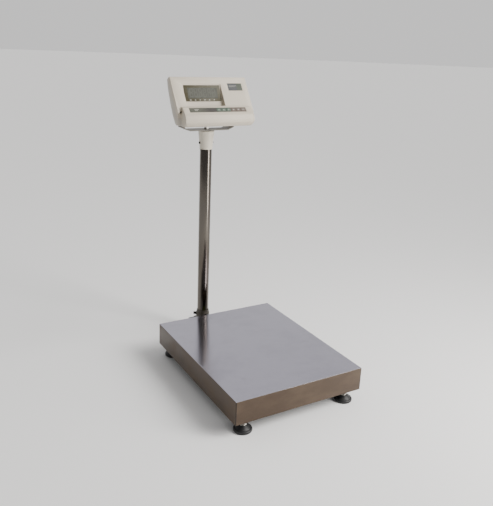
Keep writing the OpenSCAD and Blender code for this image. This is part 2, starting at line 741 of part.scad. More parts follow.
// ---------- Display ----------
module display_window() {
    color([0.35, 0.36, 0.33]) on_face() on_floor()
        block([window_x[0], window_w[0], 0], [window_x[1], window_w[1], window_t]);
}
module lcd_module() {
    color([0.5, 0.53, 0.45]) on_face() on_floor() {
        block([lcd_x[0], lcd_w[0], -wall - lcd_t], [lcd_x[1], lcd_w[1], -wall]);
        block([lcd_x[0] + lcd_view + 0.5, lcd_w[0] + lcd_view + 0.5, -wall - cut],
            [lcd_x[1] - lcd_view - 0.5, lcd_w[1] - lcd_view - 0.5, -0.5]);
    }
}
module main_board() {
    color("darkgreen") on_face() on_floor() {
        block([board_x[0], board_w[0], board_n - board_t], [board_x[1], board_w[1], board_n]);
        for (x = [-70, -30, 5]) block([x, -58, board_n - cut], [x + 14, -40, board_n + 2.4]);
        for (x = [-80, 20]) translate([x, -57, 0]) rod(4, board_n - cut, -wall - 1);
        translate([-60, -22, 0]) rod(6, board_n - board_t - 7, board_n - cut);
        block([-20, -34, board_n - board_t - 6], [0, -14, board_n - cut]);
    }
}
module label_plate() { color([0.4, 0.45, 0.47]) on_face() block(label_box[0], label_box[1]); }

// ---------- Keys ----------
module key_overlay() {
    color([0.45, 0.46, 0.42]) on_face() difference() {
        on_panel() block([overlay_x[0], overlay_w[0], -overlay_in], [overlay_x[1], overlay_w[1], overlay_t - overlay_in]);
        key_places() slab(key_w + 2 * key_gap, key_h + 2 * key_gap, -overlay_in - cut, cut);
    }
}
module key_board() {
    board = switch_top - switch_h;
    color("darkgreen") on_face() {
        on_panel() block([key_board_x[0], key_board_w[0], board - board_t], [key_board_x[1], key_board_w[1], board]);
        key_places() slab(switch_side, switch_side, board - cut, switch_top);
    }
}
module key(i) {
    under = -wall - joint_gap;
    color(i < 4 ? [0.42, 0.5, 0.43] : [0.5, 0.43, 0.39]) on_face() on_panel()
        translate([key_x(i), key_w0, 0]) {
            slab(key_w, key_h, under - key_flange_t, key_proud);
            slab(key_w + 2 * key_flange, key_h + 2 * key_flange, under - key_flange_t, under);
            rod(2, key_stem_end, under);
        }
}

// ---------- Power and connectors ----------
module battery() { color([0.2, 0.22, 0.25]) on_face() block(battery_box[0], battery_box[1]); }
module transformer() {
    low = transformer_box[0];
    high = transformer_box[1];
    color("goldenrod") on_face() {
        block(low + [0, 4, 0], high - [0, 4, 0]);
        block(low + [5, 0, 5], high - [5, 0, 5]);
    }
}
module panel_place(x) { translate([x, panel_mid, panel_n - panel_t]) children(); }
module connector_panel() {
    color("silver") on_face() difference() {
        block([-panel_half + 0.3, panel_w[0] + 0.3, panel_n - panel_t], [panel_half - 0.3, panel_w[1] - 0.3, panel_n]);
        panel_place(inlet_x) slab(27, 19, -cut, panel_t + cut);
        panel_place(fuse_x) rod(6, -cut, panel_t + cut);
        panel_place(connector_x) rod(7.5, -cut, panel_t + cut);
        panel_place(switch_x) slab(switch_body[0], switch_body[1], -cut, panel_t + cut);
    }
}
module mains_inlet() {
    color([0.08, 0.08, 0.08]) on_face() panel_place(inlet_x) {
        difference() {
            union() {
                slab(30, 22, -2, 0);
                slab(27, 19, -cut, 14);
            }
            slab(23.5, 15.5, -2 - cut, 11);
        }
        for (x = [-7, 0, 7]) translate([x, x == 0 ? 2.5 : -2, 0]) slab(2, 4, -0.5, 12);
    }
}
module fuse_holder() {
    color([0.08, 0.08, 0.08]) on_face() panel_place(fuse_x) {
        rod(6, -cut, 14);
        rod(7.5, -3, 0);
        slab(9, 1.6, -4, -2);
    }
}
module cell_connector() {
    color("silver") on_face() panel_place(connector_x) {
        difference() {
            union() {
                rod(7.5, -8, 8);
                rod(9, -2, 0);
            }
            rod(6, -9, -1.5);
        }
        for (a = [0:72:359]) rotate([0, 0, a]) translate([3.2, 0, 0]) rod(0.8, -6.5, 0);
    }
}
module power_switch() {
    color([0.08, 0.08, 0.08]) on_face() panel_place(switch_x) difference() {
        union() {
            slab(switch_frame[0], switch_frame[1], -switch_frame[2], 0);
            slab(switch_body[0], switch_body[1], -cut, 12);
        }
        slab(rocker_size[0] + 1.4, rocker_size[1] + 1, -switch_frame[2] - cut, 5);
    }
}
module power_rocker() {
    color([0.5, 0.06, 0.05]) on_face() translate([switch_x, panel_mid, rocker_n]) rotate([0, rocker_tilt, 0])
        slab(rocker_size[0], rocker_size[1], -rocker_size[2] / 2, rocker_size[2] / 2);
}

tray();
upper_side_rails();
upper_end_rails();
upper_cell_plate();
tray_buffers();
cell_live_bolts();
load_cell();
cell_fixed_bolts();
base_side_rails();
base_cross_rails();
base_cell_plate();
rail_end_caps();
overload_stops();
foot_weld_nuts();
foot_jam_nuts();
foot_stud(-1, -1);  // foot_stud_front_left
foot_stud(1, -1);  // foot_stud_front_right
foot_stud(-1, 1);  // foot_stud_rear_left
foot_stud(1, 1);  // foot_stud_rear_right
foot_pad(-1, -1);  // foot_pad_front_left
foot_pad(1, -1);  // foot_pad_front_right
foot_pad(-1, 1);  // foot_pad_rear_left
foot_pad(1, 1);  // foot_pad_rear_right
column_bracket();
bracket_bolts();
bubble_level();
column_flange();
flange_bolts();
socket_screws();
column_tube();
neck();
neck_screws();
swivel_washer();
swivel_bolt();
head_bracket();
tilt_bolts();
tilt_nuts();
rear_case();
front_case();
case_screws();
display_window();
lcd_module();
main_board();
key_overlay();
key_board();
key(1);  // key_1
key(2);  // key_2
key(3);  // key_3
key(4);  // key_4
key(5);  // key_5
key(6);  // key_6
label_plate();
battery();
transformer();
connector_panel();
mains_inlet();
fuse_holder();
cell_connector();
power_switch();
power_rocker();
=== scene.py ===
"""Looks of a bench scale: steel tray, levelling feet, polished column and a plastic indicator head."""
import json
import math

import bmesh
import bpy
from mathutils import Matrix, Vector


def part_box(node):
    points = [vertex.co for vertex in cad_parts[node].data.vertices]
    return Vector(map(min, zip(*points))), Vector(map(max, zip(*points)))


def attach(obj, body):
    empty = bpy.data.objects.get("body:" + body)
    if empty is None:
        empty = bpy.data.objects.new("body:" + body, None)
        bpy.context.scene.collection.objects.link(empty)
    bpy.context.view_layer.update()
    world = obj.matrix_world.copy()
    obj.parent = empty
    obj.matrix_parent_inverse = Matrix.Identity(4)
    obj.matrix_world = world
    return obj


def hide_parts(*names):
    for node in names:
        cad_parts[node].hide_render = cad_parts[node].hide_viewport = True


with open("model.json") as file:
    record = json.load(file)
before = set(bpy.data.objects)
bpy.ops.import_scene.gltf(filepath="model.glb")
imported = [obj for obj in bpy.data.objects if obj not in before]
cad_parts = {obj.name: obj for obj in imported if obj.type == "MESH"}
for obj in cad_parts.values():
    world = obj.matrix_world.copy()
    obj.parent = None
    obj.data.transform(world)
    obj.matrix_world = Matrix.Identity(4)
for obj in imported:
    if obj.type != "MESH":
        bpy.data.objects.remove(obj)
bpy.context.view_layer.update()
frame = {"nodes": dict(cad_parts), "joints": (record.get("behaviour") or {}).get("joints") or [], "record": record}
SLOTS = {part["node"]: part["material_slot"] for part in frame["record"]["subparts"]}
JOINTS = {joint["name"]: joint for joint in frame["joints"]}
MM = 0.001


def body_name(node):
    """The body that a node belongs to."""
    bodies = frame["record"]["behaviour"]["bodies"]
    return next(body for body, members in bodies.items() if node in members)


# ---------------------------------------------------------------- camera
EYE = Vector((-0.8694, -1.4650, 0.9448))
YAW, PITCH, ROLL = math.radians(30.08), math.radians(17.04), math.radians(2.216)
LENS = 43.65
SHIFT = (0.0105, -0.0348)


def add_camera():
    """A standing view from the front left, a little above the head."""
    ahead = Vector((math.sin(YAW) * math.cos(PITCH), math.cos(YAW) * math.cos(PITCH), -math.sin(PITCH)))
    level = Vector((math.cos(YAW), -math.sin(YAW), 0))
    above = level.cross(ahead)
    across = level * math.cos(ROLL) + above * math.sin(ROLL)
    up = above * math.cos(ROLL) - level * math.sin(ROLL)
    camera = bpy.data.objects.new("camera", bpy.data.cameras.new("camera"))
    camera.matrix_world = Matrix.Translation(EYE) @ Matrix((across, up, -ahead)).transposed().to_4x4()
    camera.data.lens = LENS
    camera.data.shift_x, camera.data.shift_y = SHIFT
    bpy.context.scene.collection.objects.link(camera)
    bpy.context.scene.camera = camera


add_camera()


# ---------------------------------------------------------------- shader maths
class Wire:
    """A socket that takes part in sums and products."""

    def __init__(self, finish, socket):
        self.finish = finish
        self.socket = socket

    def sum_node(self, operation, first, second=None):
        values = [first] if second is None else [first, second]
        return self.finish.node("ShaderNodeMath", values, operation=operation)

    def __add__(self, other):
        return self.sum_node("ADD", self, other)

    __radd__ = __add__

    def __mul__(self, other):
        return self.sum_node("MULTIPLY", self, other)

    __rmul__ = __mul__

    def __sub__(self, other):
        return self.sum_node("SUBTRACT", self, other)

    def __gt__(self, other):
        return self.sum_node("GREATER_THAN", self, other)

    def __abs__(self):
        return self.sum_node("ABSOLUTE", self)


class Finish:
    """A material whose nodes are added one call at a time."""

    def __init__(self, name, colour, metallic=0.0, roughness=0.5, **sockets):
        self.material = bpy.data.materials.new(name)
        self.material.use_nodes = True
        self.tree = self.material.node_tree
        self.skin = self.tree.nodes["Principled BSDF"]
        self.skin.inputs["Base Color"].default_value = (*colour, 1)
        self.skin.inputs["Metallic"].default_value = metallic
        self.skin.inputs["Roughness"].default_value = roughness
        for socket, value in sockets.items():
            self.skin.inputs[socket.replace("_", " ")].default_value = value
        self.material.diffuse_color = (*colour, 1)

    def node(self, kind, values=(), output=0, **settings):
        """Adds a node, sets it up, feeds it and returns one of its outputs."""
        made = self.tree.nodes.new(kind)
        for key, value in settings.items():
            setattr(made, key, value)
        pairs = values.items() if isinstance(values, dict) else enumerate(values)
        for key, value in pairs:
            self.feed(made.inputs[key], value)
        return Wire(self, made.outputs[output])

    def feed(self, socket, value):
        if isinstance(value, Wire):
            self.tree.links.new(value.socket, socket)
        elif socket.type == "RGBA" and len(value) == 3:
            socket.default_value = (*value, 1)
        else:
            socket.default_value = value

    def place(self, stretch=(1, 1, 1)):
        """Object coordinates, stretched."""
        here = self.node("ShaderNodeTexCoord", output="Object")
        return self.node("ShaderNodeMapping", {"Vector": here, "Scale": stretch})

    def noise(self, scale, stretch=(1, 1, 1), detail=3.0, rough=0.5):
        values = {"Vector": self.place(stretch), "Scale": scale, "Detail": detail, "Roughness": rough}
        return self.node("ShaderNodeTexNoise", values, output="Fac")

    def mix(self, factor, first, second):
        """A blend of two colours."""
        return self.node("ShaderNodeMix", {0: factor, 6: first, 7: second}, output=2, data_type="RGBA")

    def spread(self, value, low, high, to_low=0.0, to_high=1.0):
        """value from low..high taken to to_low..to_high, smoothly."""
        values = [value, low, high, to_low, to_high]
        return self.node("ShaderNodeMapRange", values, interpolation_type="SMOOTHSTEP")

    def bump(self, height, strength, distance):
        raised = self.node("ShaderNodeBump", {"Height": height, "Strength": strength, "Distance": distance},
                           output="Normal")
        self.feed(self.skin.inputs["Normal"], raised)

    def set(self, **wires):
        for socket, wire in wires.items():
            self.feed(self.skin.inputs[socket.replace("_", " ")], wire)


def moulded_plastic(name, colour, dirt, grain=2600, roughness=0.45, aged=0.12):
    """Textured mouldings with a fine grain, faint yellowing and grubby patches."""
    finish = Finish(name, colour, roughness=roughness)
    aging = finish.spread(finish.noise(9, detail=4), 0.35, 0.75)
    tint = finish.mix(aging * aged, colour, dirt)
    smudge = finish.spread(finish.noise(38, detail=6, rough=0.65), 0.56, 0.8)
    finish.set(Base_Color=finish.mix(smudge * 0.10, tint, dirt),
               Roughness=finish.spread(smudge, 0, 1, roughness, roughness + 0.12))
    finish.bump(finish.noise(grain, detail=2), 0.25, 0.0002)
    return finish.material


def rubber(name, colour, roughness=0.55):
    """Black rubber with dusty bloom and a pebbled skin."""
    finish = Finish(name, colour, roughness=roughness)
    dust = finish.spread(finish.noise(120, detail=5, rough=0.7), 0.5, 0.8)
    finish.set(Base_Color=finish.mix(dust * 0.25, colour, (0.09, 0.085, 0.08)),
               Roughness=finish.spread(dust, 0, 1, roughness - 0.08, roughness + 0.2))
    finish.bump(finish.noise(1800, detail=2), 0.2, 0.0002)
    return finish.material


def plated_steel(name, colour, roughness=0.32, pitch=0.0):
    """Zinc plated or bright steel, with a thread along Z where pitch is given."""
    finish = Finish(name, colour, metallic=1.0, roughness=roughness)
    cloud = finish.noise(260, detail=4)
    shade = [c * 0.6 for c in colour]
    finish.set(Base_Color=finish.mix(finish.spread(cloud, 0.3, 0.75) * 0.4, colour, shade),
               Roughness=finish.spread(cloud, 0.2, 0.8, roughness - 0.08, roughness + 0.14))
    if pitch:
        thread = finish.node("ShaderNodeTexWave", {"Vector": finish.place(), "Scale": math.pi / 10 / pitch},
                             output="Fac", bands_direction="Z")
        finish.bump(thread, 0.9, 0.0006)
    else:
        finish.bump(finish.noise(900, detail=3), 0.12, 0.0002)
    return finish.material


def painted_metal(name, colour, roughness=0.42, peel=0.25):
    """Sprayed enamel with orange peel and rubbed, dusty patches."""
    finish = Finish(name, colour, metallic=0.0, roughness=roughness)
    worn = finish.spread(finish.noise(55, detail=5, rough=0.65), 0.52, 0.78)
    finish.set(Base_Color=finish.mix(worn * 0.3, colour, [min(1, c * 1.5 + 0.02) for c in colour]),
               Roughness=finish.spread(worn, 0, 1, roughness, roughness + 0.18))
    finish.bump(finish.noise(700, detail=2), peel, 0.0002)
    return finish.material


def brushed_top():
    """The tray's top: fine straight brushing, faint smears and rubbed spots."""
    colour, smear = (0.50, 0.485, 0.565), (0.42, 0.41, 0.48)
    finish = Finish("brushed_tray_top", colour, metallic=1.0, roughness=0.18)
    brushing = finish.noise(420, stretch=(6, 0.12, 1), detail=3)
    stain = finish.spread(finish.noise(7, stretch=(1, 1.3, 1), detail=6, rough=0.62), 0.42, 0.72)
    spots = finish.spread(finish.noise(24, detail=5, rough=0.7), 0.58, 0.76)
    tint = finish.mix(stain * 0.55, colour, smear)
    shade = finish.mix(spots * 0.3, tint, (0.34, 0.33, 0.38))
    finish.set(Base_Color=finish.mix(finish.spread(brushing, 0.3, 0.7) * 0.14, shade, (0.36, 0.35, 0.40)),
               Roughness=finish.spread(stain, 0, 1, 0.13, 0.2) + finish.spread(brushing, 0.3, 0.7, 0, 0.05))
    finish.bump(brushing, 0.10, 0.0001)
    return finish.material


def skirt_painted_reflection_and_shade():
    """The tray's folded skirt: brushed along its length, with a dark seam at each corner. Its dull, warm dark
    brown is painted reflection and painted shade, far darker than the same steel on the top.
    """
    # Painted reflection and painted shade: these dark browns stand in for a brown floor mirrored in the steel and
    # for shade on the skirt's sides.
    colour, dull = (0.100, 0.070, 0.046), (0.066, 0.044, 0.029)
    finish = Finish("tray_skirt_painted_reflection_and_shade", colour, metallic=0.25, roughness=0.4, Specular_IOR_Level=0.35)
    brushing = finish.noise(420, stretch=(0.12, 0.12, 6), detail=3)
    patch = finish.spread(finish.noise(11, stretch=(1, 1, 2.2), detail=5, rough=0.6), 0.38, 0.74)
    warm = finish.mix(patch * 0.8, dull, colour)
    here = finish.node("ShaderNodeSeparateXYZ", [finish.place()], output="X")
    along = Wire(finish, here.socket.node.outputs["Y"])
    low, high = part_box("tray")
    mid_y = (low[1] + high[1]) / 2
    at_corner = (abs(here) > high[0] - 0.0022) * (abs(along - mid_y) > high[1] - mid_y - 0.0014)
    finish.set(Base_Color=finish.mix(at_corner * 0.75, warm, (0.012, 0.010, 0.009)),
               Roughness=finish.spread(patch, 0, 1, 0.36, 0.5))
    finish.bump(brushing, 0.12, 0.0001)
    return finish.material


def tube_painted_dark_reflection():
    """The column: polished stainless with long draw lines. Its dark, brown-cast base colour is a painted
    reflection of dark surroundings.
    """
    # Painted reflection: the dark brown base colour stands in for dark surroundings mirrored in the polished tube.
    colour = (0.125, 0.112, 0.098)
    finish = Finish("tube_painted_dark_reflection", colour, metallic=1.0, roughness=0.16)
    lines = finish.noise(300, stretch=(3, 3, 0.05), detail=3)
    patch = finish.spread(finish.noise(14, stretch=(1, 1, 0.35), detail=5), 0.4, 0.7)
    finish.set(Base_Color=finish.mix(patch * 0.5, colour, (0.085, 0.068, 0.054)),
               Roughness=finish.spread(patch, 0, 1, 0.15, 0.22) + finish.spread(lines, 0.3, 0.7, 0, 0.05))
    finish.bump(lines, 0.07, 0.0001)
    return finish.material


def dark_casting():
    """The flared flange: dark, slightly rough metal with a few bright rubs."""
    colour = (0.075, 0.068, 0.058)
    finish = Finish("dark_casting", colour, metallic=0.7, roughness=0.4)
    rub = finish.spread(finish.noise(90, detail=6, rough=0.7), 0.55, 0.8)
    finish.set(Base_Color=finish.mix(rub * 0.5, colour, (0.2, 0.19, 0.17)),
               Roughness=finish.spread(rub, 0, 1, 0.42, 0.28))
    finish.bump(finish.noise(480, detail=4), 0.3, 0.0002)
    return finish.material


def circuit_laminate():
    """Green board with copper tracks under the mask."""
    finish = Finish("circuit_board", (0.015, 0.12, 0.045), roughness=0.35)
    tracks = finish.node("ShaderNodeTexBrick", {"Vector": finish.place((1, 1.2, 1.2)), "Scale": 160.0,
                                                "Mortar Size": 0.03}, output="Fac")
    finish.set(Base_Color=finish.mix(tracks * 0.6, (0.015, 0.12, 0.045), (0.05, 0.24, 0.08)))
    finish.bump(tracks, 0.2, 0.0001)
    return finish.material


def printed_strip():
    """The key overlay: olive at the left, then charcoal, then green and brown behind the keys."""
    finish = Finish("key_overlay_print", (0.12, 0.12, 0.105), roughness=0.45, Specular_IOR_Level=0.15)
    low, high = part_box("key_overlay")
    width = high[0] - low[0]
    across = finish.node("ShaderNodeSeparateXYZ", [finish.place()], output="X")
    share = (across - low[0]) * (1 / width)
    left = finish.mix(finish.spread(share, 0.16, 0.36), (0.092, 0.094, 0.076), (0.062, 0.059, 0.054))
    middle = finish.mix(finish.spread(share, 0.44, 0.5), left, (0.078, 0.094, 0.076))
    right = finish.mix(finish.spread(share, 0.68, 0.73), middle, (0.125, 0.105, 0.088))
    fade = finish.spread(finish.noise(160, detail=4), 0.45, 0.75)
    finish.set(Base_Color=finish.mix(fade * 0.18, right, (0.17, 0.165, 0.145)))
    finish.bump(finish.noise(2200, detail=2), 0.12, 0.0001)
    return finish.material


def printed_label():
    """A blank label: a blue-grey field that turns greenish at the right, with no lettering."""
    finish = Finish("label_print", (0.08, 0.085, 0.088), roughness=0.45, Specular_IOR_Level=0.15)
    low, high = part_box("label_plate")
    across = finish.node("ShaderNodeSeparateXYZ", [finish.place()], output="X")
    share = (across - low[0]) * (1 / (high[0] - low[0]))
    field = finish.mix(finish.spread(share, 0.56, 0.68), (0.072, 0.075, 0.078), (0.072, 0.082, 0.064))
    fade = finish.spread(finish.noise(240, detail=4), 0.45, 0.75)
    finish.set(Base_Color=finish.mix(fade * 0.25, field, (0.12, 0.125, 0.125)))
    finish.bump(finish.noise(1500, detail=2), 0.1, 0.0001)
    return finish.material


def tinted_window():
    """Dark acrylic in front of the display, with a slightly hazy face."""
    colour = (0.075, 0.069, 0.046)
    finish = Finish("display_window", colour, roughness=0.4, Specular_IOR_Level=0.12)
    haze = finish.spread(finish.noise(60, detail=5, rough=0.6), 0.4, 0.75)
    finish.set(Base_Color=finish.mix(haze * 0.3, colour, (0.10, 0.094, 0.07)),
               Roughness=finish.spread(haze, 0, 1, 0.26, 0.36))
    finish.bump(finish.noise(500, detail=2), 0.04, 0.0001)
    return finish.material


def crystal_panel():
    """The switched-off liquid crystal panel: grey-green with a soft mottle."""
    colour = (0.062, 0.063, 0.052)
    finish = Finish("crystal_panel", colour, roughness=0.45, Specular_IOR_Level=0.12)
    mottle = finish.noise(90, detail=4)
    finish.set(Base_Color=finish.mix(finish.spread(mottle, 0.35, 0.7), colour, (0.078, 0.08, 0.066)))
    return finish.material


def ink(name, colour, fade=0.25):
    """A thin printed mark that has faded in places."""
    finish = Finish(name, colour, roughness=0.5)
    worn = finish.spread(finish.noise(700, detail=3), 0.45, 0.75)
    finish.set(Base_Color=finish.mix(worn * fade, colour, [c * 0.55 for c in colour]))
    return finish.material


CREAM = (0.53, 0.475, 0.385)
GRIME = (0.36, 0.31, 0.235)
LOOKS = {
    "stainless_brushed": skirt_painted_reflection_and_shade(),
    "frame_paint": painted_metal("frame_paint", (0.03, 0.031, 0.034)),
    "buffer_rubber": rubber("buffer_rubber", (0.02, 0.02, 0.02)),
    "zinc_steel": plated_steel("zinc_steel", (0.62, 0.6, 0.56)),
    "load_cell_aluminium": plated_steel("load_cell_aluminium", (0.75, 0.75, 0.76), 0.38),
    "black_plastic": moulded_plastic("black_plastic", (0.018, 0.018, 0.018), (0.05, 0.048, 0.045),
                                     roughness=0.38),
    "foot_rubber": rubber("foot_rubber", (0.008, 0.008, 0.009), 0.62),
    "level_acrylic": moulded_plastic("level_acrylic", (0.32, 0.4, 0.08), (0.2, 0.28, 0.05), roughness=0.12),
    "flange_metal": dark_casting(),
    "black_oxide": plated_steel("black_oxide", (0.022, 0.021, 0.02), 0.42),
    "tube_polished": tube_painted_dark_reflection(),
    "neck_plastic": moulded_plastic("neck_plastic", (0.62, 0.575, 0.48), GRIME, roughness=0.36),
    # Painted shade: the head bracket's paint is made dark brown to stand in for the shade under the case.
    "bracket_paint": painted_metal("bracket_paint", (0.16, 0.145, 0.12)),
    "case_plastic_rear": moulded_plastic("rear_case_plastic", (0.50, 0.465, 0.405), GRIME),
    "case_plastic_front": moulded_plastic("front_case_plastic", CREAM, GRIME),
    "display_lens": tinted_window(),
    "lcd_glass": crystal_panel(),
    "circuit_board": circuit_laminate(),
    "overlay_print": printed_strip(),
    "key_green": moulded_plastic("green_key", (0.082, 0.118, 0.088), (0.13, 0.145, 0.12), 1800, 0.5, 0.4),
    "key_brown": moulded_plastic("brown_key", (0.15, 0.118, 0.098), (0.2, 0.17, 0.145), 1800, 0.5, 0.4),
    "label_print": printed_label(),
    "battery_wrap": moulded_plastic("battery_wrap", (0.02, 0.03, 0.07), (0.05, 0.06, 0.1)),
    "transformer_core": plated_steel("transformer_core", (0.42, 0.25, 0.1), 0.5),
    "panel_metal": plated_steel("panel_metal", (0.55, 0.55, 0.53), 0.36),
    "connector_shell": plated_steel("connector_shell", (0.66, 0.63, 0.58), 0.25),
    "rocker_red": moulded_plastic("red_rocker", (0.4, 0.02, 0.015), (0.2, 0.02, 0.02), roughness=0.28),
}
TRAY_TOP = brushed_top()
THREAD = plated_steel("threaded_steel", (0.58, 0.55, 0.5), 0.3, pitch=0.00175)
MARK = ink("pale_mark", (0.42, 0.41, 0.36))
SEGMENT = ink("resting_segment", (0.062, 0.066, 0.05), 0.4)


# ---------------------------------------------------------------- mesh tools
def piece_from(mesh, name, node, material=None, shown_for=()):
    """Links a finished mesh as a piece that rides with a CAD node's body and wears its slot's finish."""
    mesh.name = name
    made = bpy.data.objects.new(name, mesh)
    bpy.context.scene.collection.objects.link(made)
    if not mesh.materials:
        mesh.materials.append(material or LOOKS[SLOTS[node]])
    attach(made, body_name(node))
    if shown_for:
        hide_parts(*shown_for)
    return made


def mesh_of(shape, name="mesh"):
    """Turns a bmesh into a mesh and frees it."""
    if shape.calc_volume(signed=True) < 0:
        bmesh.ops.reverse_faces(shape, faces=shape.faces)
    mesh = bpy.data.meshes.new(name)
    shape.to_mesh(mesh)
    shape.free()
    return mesh


def applied(made, *modifiers):
    """A plain mesh of an object with modifiers, each given as (kind, settings)."""
    for kind, settings in modifiers:
        modifier = made.modifiers.new(kind.lower(), kind)
        for key, value in settings.items():
            setattr(modifier, key, value)
    bpy.context.view_layer.update()
    seen = made.evaluated_get(bpy.context.evaluated_depsgraph_get())
    mesh = bpy.data.meshes.new_from_object(seen)
    mesh.materials.clear()
    bpy.data.objects.remove(made)
    return mesh


def loose(mesh):
    """A helper object that holds a mesh while modifiers act on it."""
    made = bpy.data.objects.new("helper", mesh)
    bpy.context.scene.collection.objects.link(made)
    return made


def softened(mesh, width, segments=2, angle=32):
    """Merged, with flat areas as whole faces and every sharp edge rounded."""
    shape = bmesh.new()
    shape.from_mesh(mesh)
    bmesh.ops.remove_doubles(shape, verts=shape.verts, dist=1e-6)
    bmesh.ops.dissolve_limit(shape, angle_limit=math.radians(0.6), verts=shape.verts, edges=shape.edges)
    settings = {"width": width, "segments": segments, "limit_method": "ANGLE",
                "angle_limit": math.radians(angle), "miter_outer": "MITER_ARC", "use_clamp_overlap": True}
    return smoothed(applied(loose(mesh_of(shape)), ("BEVEL", settings)), angle)


def smoothed(mesh, angle=32):
    """Smooth shading with edges sharper than angle kept crisp."""
    shape = bmesh.new()
    shape.from_mesh(mesh)
    for face in shape.faces:
        face.smooth = True
    for edge in shape.edges:
        if len(edge.link_faces) == 2:
            edge.smooth = edge.calc_face_angle(0) < math.radians(angle)
    shape.to_mesh(mesh)
    shape.free()
    return mesh


def combined(base, other, operation):
    """A boolean of two meshes."""
    cutter = loose(other)
    result = applied(loose(base), ("BOOLEAN", {"object": cutter, "operation": operation, "solver": "EXACT"}))
    bpy.data.objects.remove(cutter)
    return result


def joined(*meshes):
    """Several separate meshes as one."""
    shape = bmesh.new()
    for mesh in meshes:
        shape.from_mesh(mesh)
    return mesh_of(shape)


def block(low, high, turn=Matrix.Identity(4)):
    """A box between two corners, given in millimetres, then turned into place."""
    shape = bmesh.new()
    bmesh.ops.create_cube(shape, size=1)
    for vert in shape.verts:
        vert.co = Vector([(low[i] + high[i]) / 2 + vert.co[i] * (high[i] - low[i]) for i in range(3)]) * MM
    bmesh.ops.transform(shape, matrix=turn, verts=shape.verts)
    return mesh_of(shape)


def rod(radius, z0, z1, turn=Matrix.Identity(4), sides=40):
    """A cylinder along Z between two heights, in millimetres, then turned into place."""
    shape = bmesh.new()
    bmesh.ops.create_cone(shape, cap_ends=True, segments=sides, radius1=radius * MM, radius2=radius * MM,
                          depth=(z1 - z0) * MM)
    place = turn @ Matrix.Translation((0, 0, (z0 + z1) / 2 * MM))
    bmesh.ops.transform(shape, matrix=place, verts=shape.verts)
    return mesh_of(shape)


def turned(profile, centre, sides=72):
    """A solid of revolution about a vertical axis: profile points are (radius, height) in millimetres,
    from the axis at the bottom, round the outside, to the axis at the top."""
    shape = bmesh.new()
    rings = []
    turns = [2 * math.pi * k / sides for k in range(sides)]
    for radius, height in profile:
        if radius < 1e-6:
            rings.append([shape.verts.new((centre[0], centre[1], height * MM))])
            continue
        ring = []
        for turn in turns:
            x = centre[0] + radius * MM * math.cos(turn)
            y = centre[1] + radius * MM * math.sin(turn)
            ring.append(shape.verts.new((x, y, height * MM)))
        rings.append(ring)
    for lower, upper in zip(rings, rings[1:]):
        for k in range(sides):
            after = (k + 1) % sides
            if len(lower) == 1:
                shape.faces.new((lower[0], upper[after], upper[k]))
            elif len(upper) == 1:
                shape.faces.new((lower[k], lower[after], upper[0]))
            else:
                shape.faces.new((lower[k], lower[after], upper[after], upper[k]))
    bmesh.ops.recalc_face_normals(shape, faces=shape.faces)
    return mesh_of(shape)


def arc_profile(points, radii, steps=5):
    """An outline with its corners rounded: one radius for each point, 0 where it stays sharp."""
    rounded = []
    count = len(points)
    for k, (point, radius) in enumerate(zip(points, radii)):
        here = Vector(point)
        before, after = Vector(points[k - 1]), Vector(points[(k + 1) % count])
        into, away = (before - here), (after - here)
        reach = min(into.length, away.length) * 0.48
        half = into.angle(away) / 2
        if radius <= 0 or half > math.radians(89):
            rounded.append(here)
            continue
        run = min(radius / math.tan(half), reach)
        start, end = here + into.normalized() * run, here + away.normalized() * run
        for step in range(steps + 1):
            share = step / steps
            rounded.append(start * (1 - share) ** 2 + here * 2 * share * (1 - share) + end * share ** 2)
    return rounded


def moved_in(points, depth):
    """A clockwise outline moved in by depth."""
    result = []
    for k, point in enumerate(points):
        here = Vector(point)
        first = (here - Vector(points[k - 1])).normalized()
        second = (Vector(points[(k + 1) % len(points)]) - here).normalized()
        a, b = Vector((first.y, -first.x)), Vector((second.y, -second.x))
        result.append(here + (a + b) * (depth / (1 + a.dot(b))))
    return result


def prism(outline, half, turn):
    """An outline carried across X from -half to half, in millimetres."""
    shape = bmesh.new()
    left, right = [[shape.verts.new(turn @ (Vector((x, p[0], p[1])) * MM)) for p in outline]
                   for x in (-half, half)]
    count = len(outline)
    for k in range(count):
        shape.faces.new((left[k], left[(k + 1) % count], right[(k + 1) % count], right[k]))
    shape.faces.new(left)
    shape.faces.new(list(reversed(right)))
    bmesh.ops.recalc_face_normals(shape, faces=shape.faces)
    return mesh_of(shape)


def upright(outline, z0, z1, turn):
    """A flat outline in X and Y carried from z0 to z1, in millimetres."""
    shape = bmesh.new()
    floor = [shape.verts.new(turn @ (Vector((p[0], p[1], z0)) * MM)) for p in outline]
    roof = [shape.verts.new(turn @ (Vector((p[0], p[1], z1)) * MM)) for p in outline]
    count = len(outline)
    for k in range(count):
        shape.faces.new((floor[k], floor[(k + 1) % count], roof[(k + 1) % count], roof[k]))
    shape.faces.new(floor)
    shape.faces.new(list(reversed(roof)))
    bmesh.ops.recalc_face_normals(shape, faces=shape.faces)
    return mesh_of(shape)


def node_mesh(name):
    """A copy of a CAD node's mesh."""
    copy = frame["nodes"][name].data.copy()
    copy.materials.clear()
    return copy


def refined(node, width, segments=2, angle=32, material=None):
    """A CAD node shown with its sharp edges rounded."""
    mesh = softened(node_mesh(node), width * MM, segments, angle)
    return piece_from(mesh, node + "_skin", node, material, [node])


